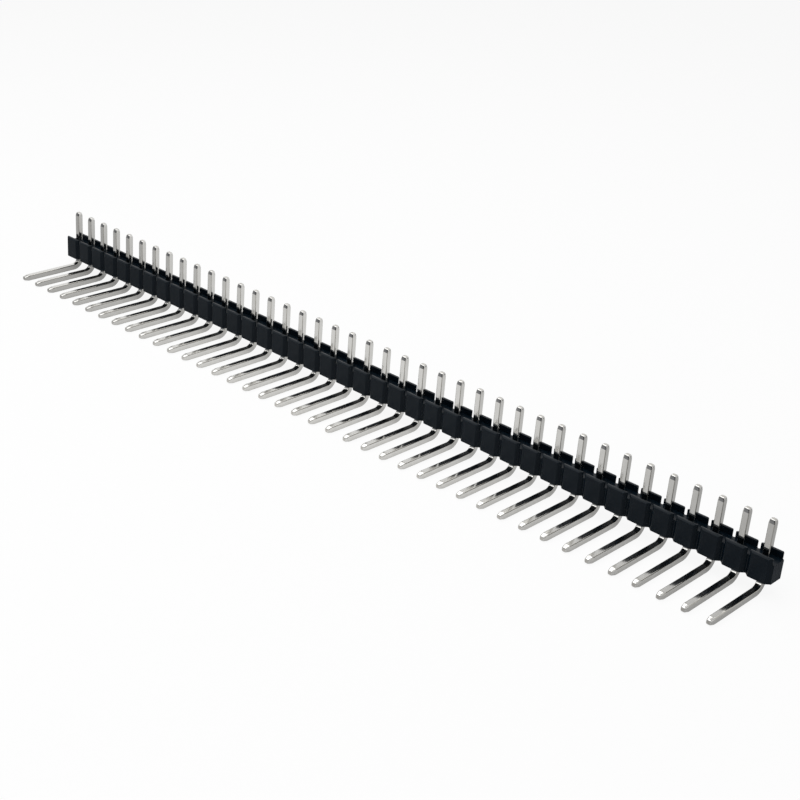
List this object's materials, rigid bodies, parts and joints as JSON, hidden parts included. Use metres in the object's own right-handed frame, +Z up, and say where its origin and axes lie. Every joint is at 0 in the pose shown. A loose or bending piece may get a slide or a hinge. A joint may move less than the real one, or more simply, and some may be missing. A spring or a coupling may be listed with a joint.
{
  "type": "pin header strip",
  "caption": "Right-angle break-away pin header: one row of bent square pins through a black insulator with V notches between sections.",
  "frame": {"origin": "on the surface that the legs lie on, under the middle of the whole part", "axes": "+X along the row of pins, -Y the way the legs point, +Z up along the straight tails"},
  "size_m": [0.1016, 0.0094, 0.0073],
  "materials": {
    "moulded_insulator": "glass-filled moulded polyester, blue-black, satin",
    "plated_wire": "drawn square brass wire, bright nickel and tin plated"
  },
  "bodies": {
    "root": {"insulator": "moulded_insulator", "pin_01": "plated_wire", "pin_02": "plated_wire", "pin_03": "plated_wire", "pin_04": "plated_wire", "pin_05": "plated_wire", "pin_06": "plated_wire", "pin_07": "plated_wire", "pin_08": "plated_wire", "pin_09": "plated_wire", "pin_10": "plated_wire", "pin_11": "plated_wire", "pin_12": "plated_wire", "pin_13": "plated_wire", "pin_14": "plated_wire", "pin_15": "plated_wire", "pin_16": "plated_wire", "pin_17": "plated_wire", "pin_18": "plated_wire", "pin_19": "plated_wire", "pin_20": "plated_wire", "pin_21": "plated_wire", "pin_22": "plated_wire", "pin_23": "plated_wire", "pin_24": "plated_wire", "pin_25": "plated_wire", "pin_26": "plated_wire", "pin_27": "plated_wire", "pin_28": "plated_wire", "pin_29": "plated_wire", "pin_30": "plated_wire", "pin_31": "plated_wire", "pin_32": "plated_wire", "pin_33": "plated_wire", "pin_34": "plated_wire", "pin_35": "plated_wire", "pin_36": "plated_wire", "pin_37": "plated_wire", "pin_38": "plated_wire", "pin_39": "plated_wire", "pin_40": "plated_wire"}
  },
  "joints": []
}
